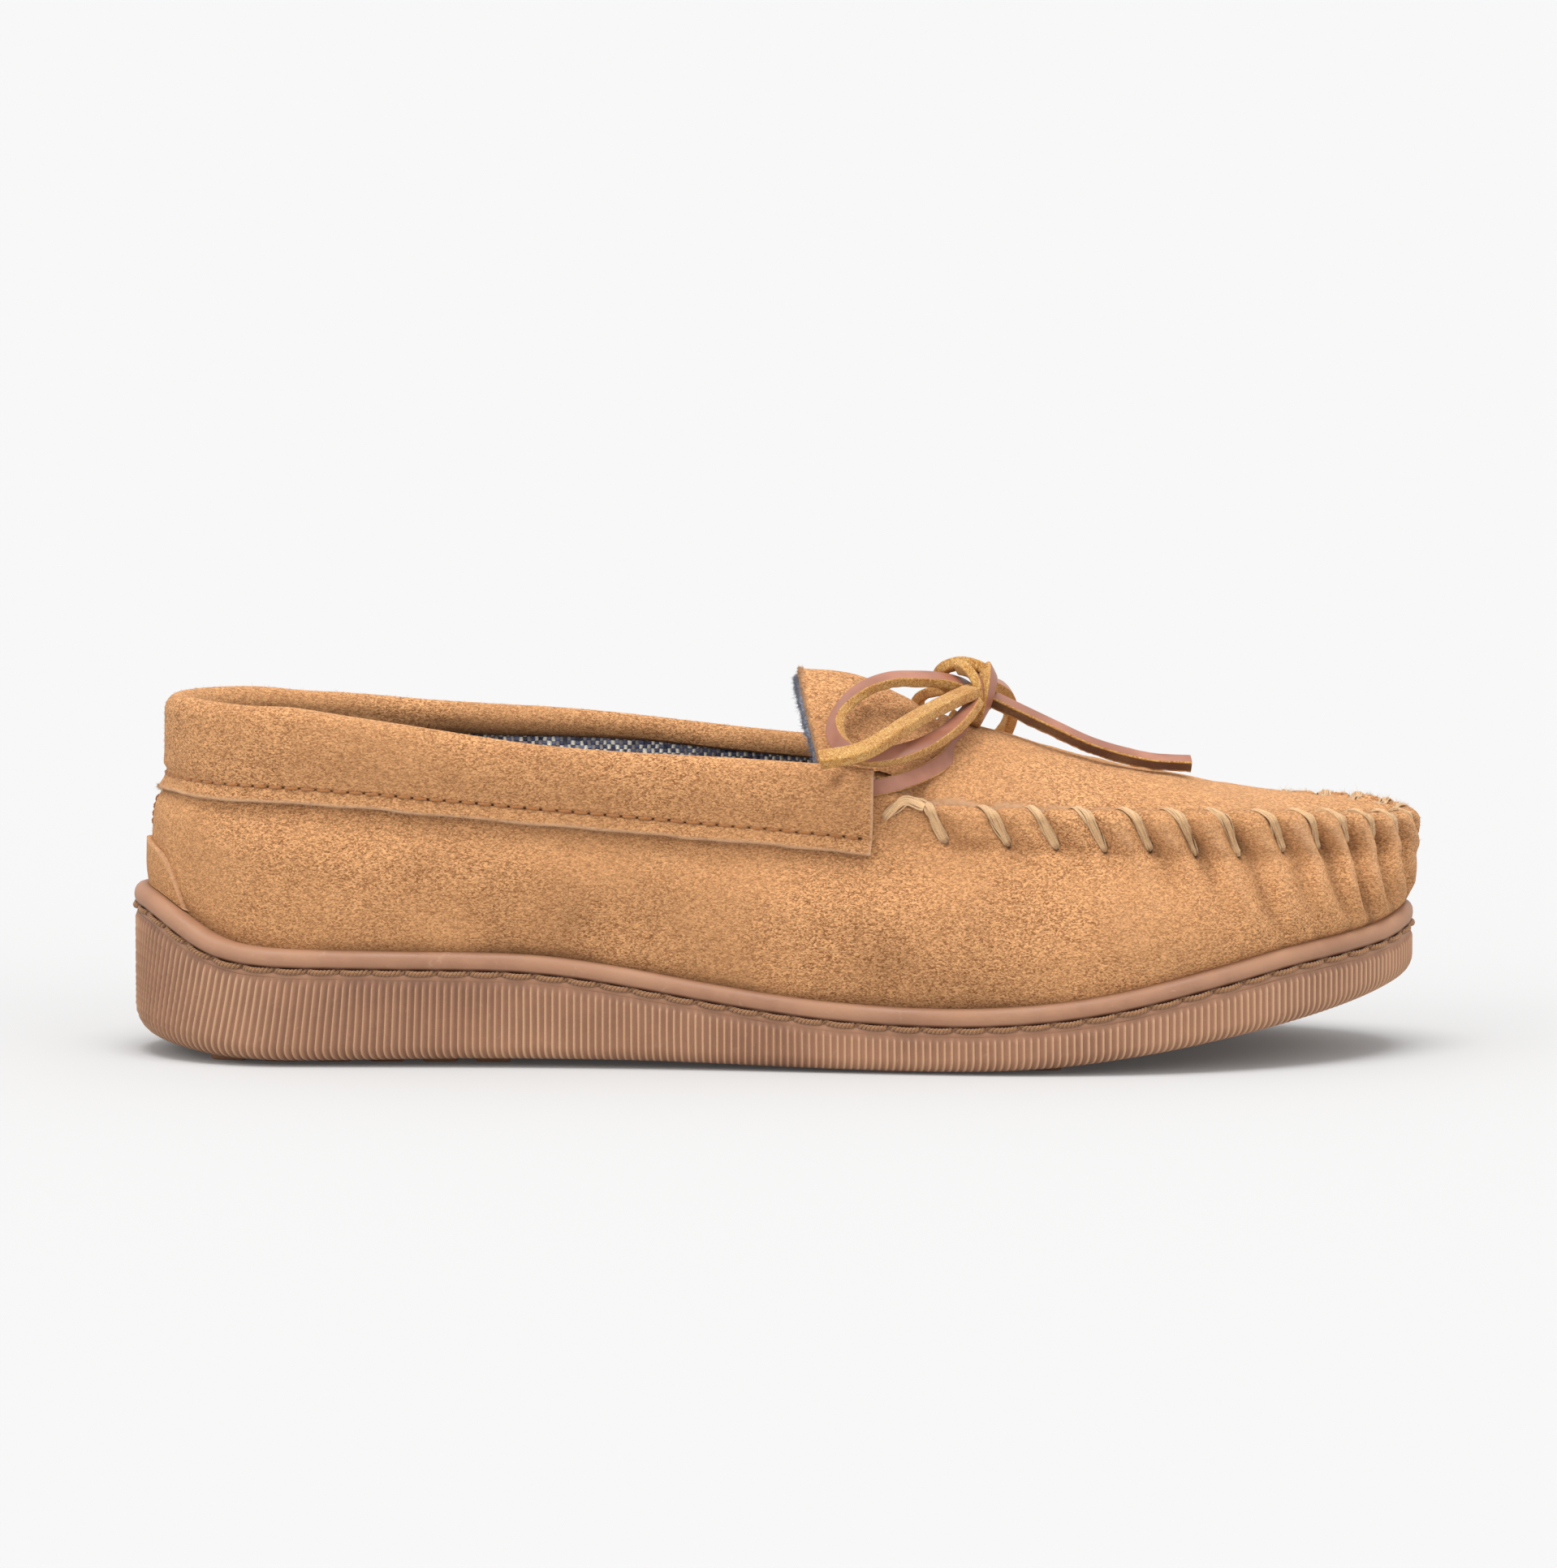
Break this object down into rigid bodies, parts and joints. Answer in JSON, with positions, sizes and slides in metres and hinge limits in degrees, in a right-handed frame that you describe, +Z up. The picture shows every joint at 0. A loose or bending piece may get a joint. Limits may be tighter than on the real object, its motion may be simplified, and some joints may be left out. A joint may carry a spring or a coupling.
{
  "type": "moccasin",
  "caption": "Right-foot moccasin slipper: suede upper with a folded collar, whip-stitched plug, tied leather thong and a ribbed rubber cup sole.",
  "frame": {"origin": "on the ground under the sole, midway along the sole's length", "axes": "+X towards the toe, -Y towards the outer (lateral) side of this right-foot shoe, +Z up"},
  "size_m": [0.2938, 0.1009, 0.0886],
  "materials": {
    "sole_rubber": "satin",
    "filler_foam": "matte",
    "board": "matte",
    "tweed": "matte",
    "suede": "matte",
    "thong": "satin",
    "thong_flesh": "matte",
    "sole_thread": "matte",
    "collar_thread": "matte",
    "whip_thread": "matte"
  },
  "bodies": {
    "shoe": {"outsole": "sole_rubber", "midsole_filler": "filler_foam", "insole_board": "board", "foam_footbed": "filler_foam", "sock_liner": "tweed", "side_wall": "suede", "quarter_lining": "tweed", "heel_counter": "board", "heel_tab": "suede", "plug": "suede", "plug_lining": "tweed", "collar": "suede", "collar_lace": "thong", "lace_knot": "thong_flesh", "sole_stitching": "sole_thread", "collar_stitching": "collar_thread", "whip_stitching": "whip_thread", "back_seam_stitching": "collar_thread"},
    "tongue": {"tongue": "suede", "tongue_lining": "tweed"},
    "lateral_bow": {"lateral_loop": "thong", "lateral_tail": "thong_flesh"},
    "medial_bow": {"medial_loop": "thong"},
    "toe_end": {"toe_tail": "thong"}
  },
  "joints": [
    {"name": "tongue_hinge", "type": "hinge", "parent": "shoe", "child": "tongue", "pos_m": [0.036, 0, 0.0765], "axis": [0, 1, 0], "range_deg": [-14, 2], "stiffness_Nm_per_rad": 0.02},
    {"name": "lateral_bow_swing", "type": "hinge", "parent": "shoe", "child": "lateral_bow", "pos_m": [0.0425, -0.0075, 0.083], "axis": [-0.1302, 0.781, 0.6108], "range_deg": [0, 35]},
    {"name": "medial_bow_swing", "type": "hinge", "parent": "shoe", "child": "medial_bow", "pos_m": [0.0437, 0.0052, 0.0832], "axis": [0.9113, -0.4106, -0.03], "range_deg": [0, 35]},
    {"name": "toe_tail_swing", "type": "hinge", "parent": "shoe", "child": "toe_end", "pos_m": [0.05, -0.003, 0.0804], "axis": [0, 0, 1], "range_deg": [-20, 20]}
  ]
}
